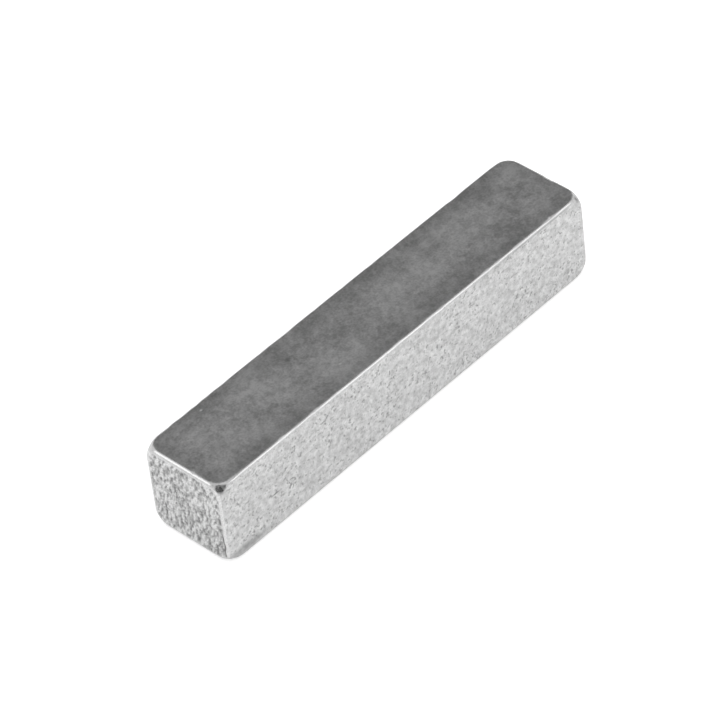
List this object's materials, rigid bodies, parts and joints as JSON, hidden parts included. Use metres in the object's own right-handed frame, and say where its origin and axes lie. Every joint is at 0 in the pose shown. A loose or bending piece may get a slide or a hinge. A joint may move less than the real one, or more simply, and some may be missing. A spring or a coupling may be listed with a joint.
{
  "type": "parallel key",
  "caption": "Square-ended parallel key: a short bar of square drawn steel with rounded edges and worn corners, that locks a hub to a shaft.",
  "frame": {"origin": "middle of the face that beds in the shaft's keyseat", "axes": "+X along the key, +Z out of the keyseat, +Y and -Y out of the two drive faces"},
  "size_m": [0.036, 0.007, 0.007],
  "materials": {
    "key_steel": "bright drawn key steel, satin and finely pitted, with rough cut ends and burnished edges"
  },
  "bodies": {
    "root": {"key_bar": "key_steel"}
  },
  "joints": []
}
